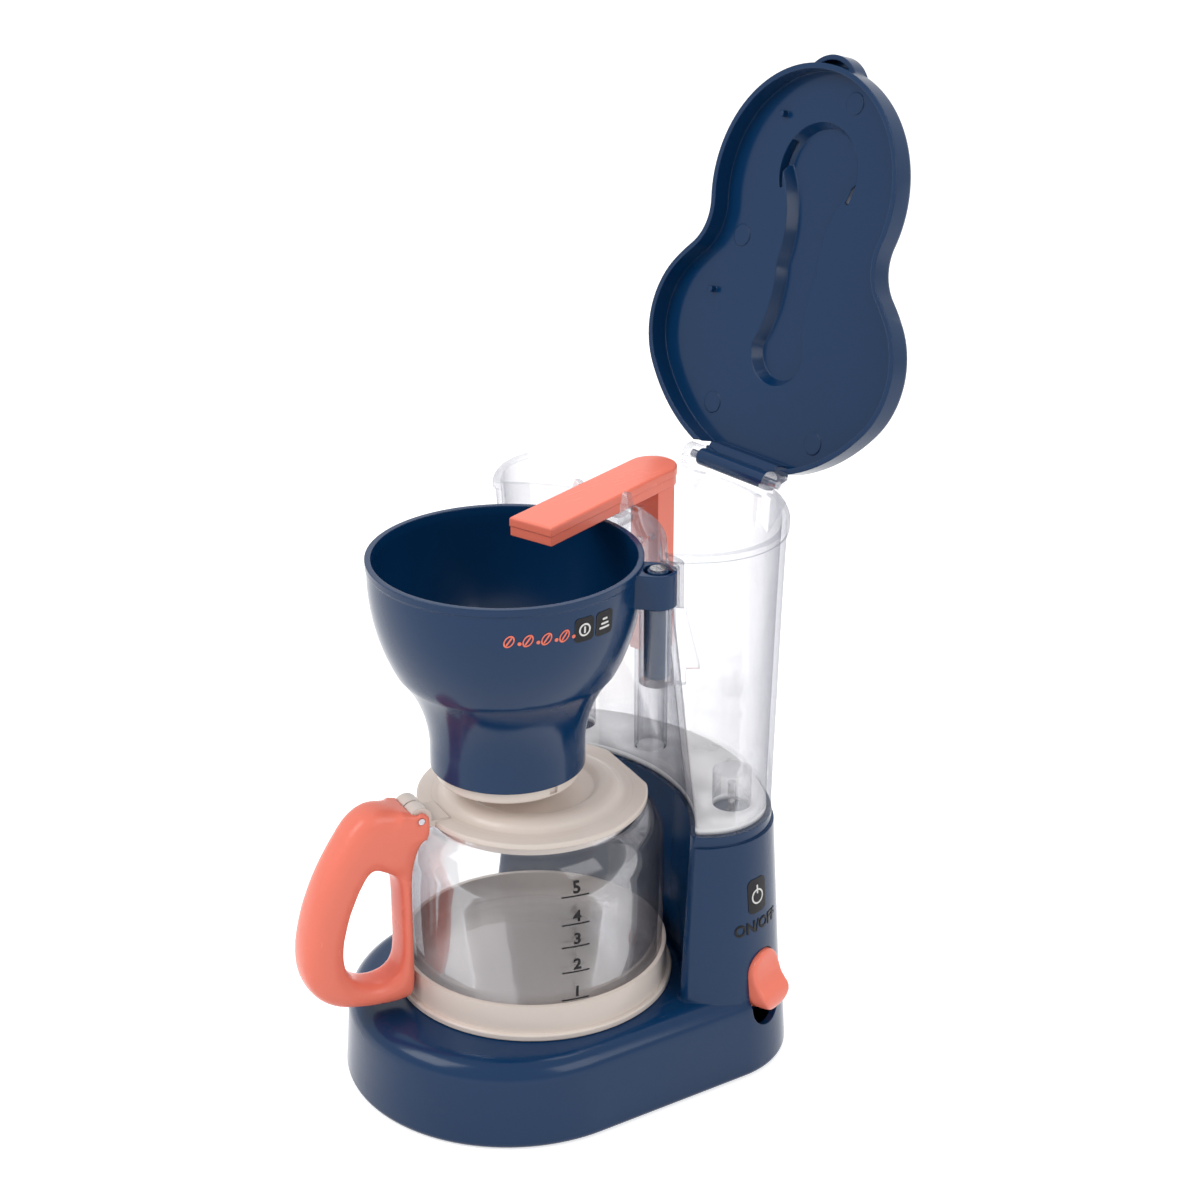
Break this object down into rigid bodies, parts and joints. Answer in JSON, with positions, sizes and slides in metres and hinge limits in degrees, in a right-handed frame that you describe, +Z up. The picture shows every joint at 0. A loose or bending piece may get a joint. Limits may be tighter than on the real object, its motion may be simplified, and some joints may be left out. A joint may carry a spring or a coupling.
{
  "type": "toy coffee maker",
  "caption": "Toy drip coffee maker with a clear tank, a hinged figure-eight lid, a swing-out funnel, a lidded carafe with a loop handle and a sliding switch.",
  "frame": {"origin": "on the floor under the middle of the round front foot of the base", "axes": "+Z up, the carafe side looks along -Y, the switch is on +X"},
  "size_m": [0.1408, 0.238, 0.3487],
  "materials": {
    "navy_plastic": "moulded, gloss",
    "coral_plastic": "moulded, gloss",
    "beige_plastic": "moulded, satin",
    "clear_plastic": "clear, polished",
    "screw_steel": "zinc plated"
  },
  "bodies": {
    "machine": {"base_hull": "navy_plastic", "base_cover": "navy_plastic", "cover_screws": "screw_steel", "tank_screws": "screw_steel", "water_tank": "clear_plastic", "faucet_column": "coral_plastic", "faucet_arm_top": "coral_plastic", "faucet_arm_bottom": "coral_plastic", "switch_retainer": "navy_plastic", "detent_spring": "screw_steel"},
    "tank_lid": {"lid_shell": "navy_plastic"},
    "funnel": {"funnel_shell": "navy_plastic", "funnel_drip_cap": "beige_plastic", "drip_valve": "beige_plastic", "funnel_pin": "navy_plastic", "funnel_screw": "screw_steel"},
    "carafe": {"carafe_glass": "clear_plastic", "carafe_cup": "beige_plastic", "handle_left": "coral_plastic", "handle_right": "coral_plastic", "carafe_lid_pin": "screw_steel"},
    "carafe_top": {"carafe_lid": "beige_plastic"},
    "switch": {"switch_button": "coral_plastic", "switch_slider": "coral_plastic"}
  },
  "joints": [
    {"name": "lid_hinge", "type": "hinge", "parent": "machine", "child": "tank_lid", "pos_m": [0, 0.107, 0.2045], "axis": [1, 0, 0], "range_deg": [0, 106]},
    {"name": "funnel_swing", "type": "hinge", "parent": "machine", "child": "funnel", "pos_m": [0.0424, 0.032, 0.186], "axis": [0, 0, 1], "range_deg": [0, 95]},
    {"name": "carafe_slide", "type": "slide", "parent": "machine", "child": "carafe", "axis": [0, -1, 0], "range_m": [0, 0.12]},
    {"name": "carafe_lid_hinge", "type": "hinge", "parent": "carafe", "child": "carafe_top", "pos_m": [-0.01044, -0.03441, 0.1084], "axis": [0.9744, -0.225, 0], "range_deg": [0, 5]},
    {"name": "switch_slide", "type": "slide", "parent": "machine", "child": "switch", "axis": [0.0988, 0.021, -0.9949], "range_m": [0, 0.0064]}
  ]
}
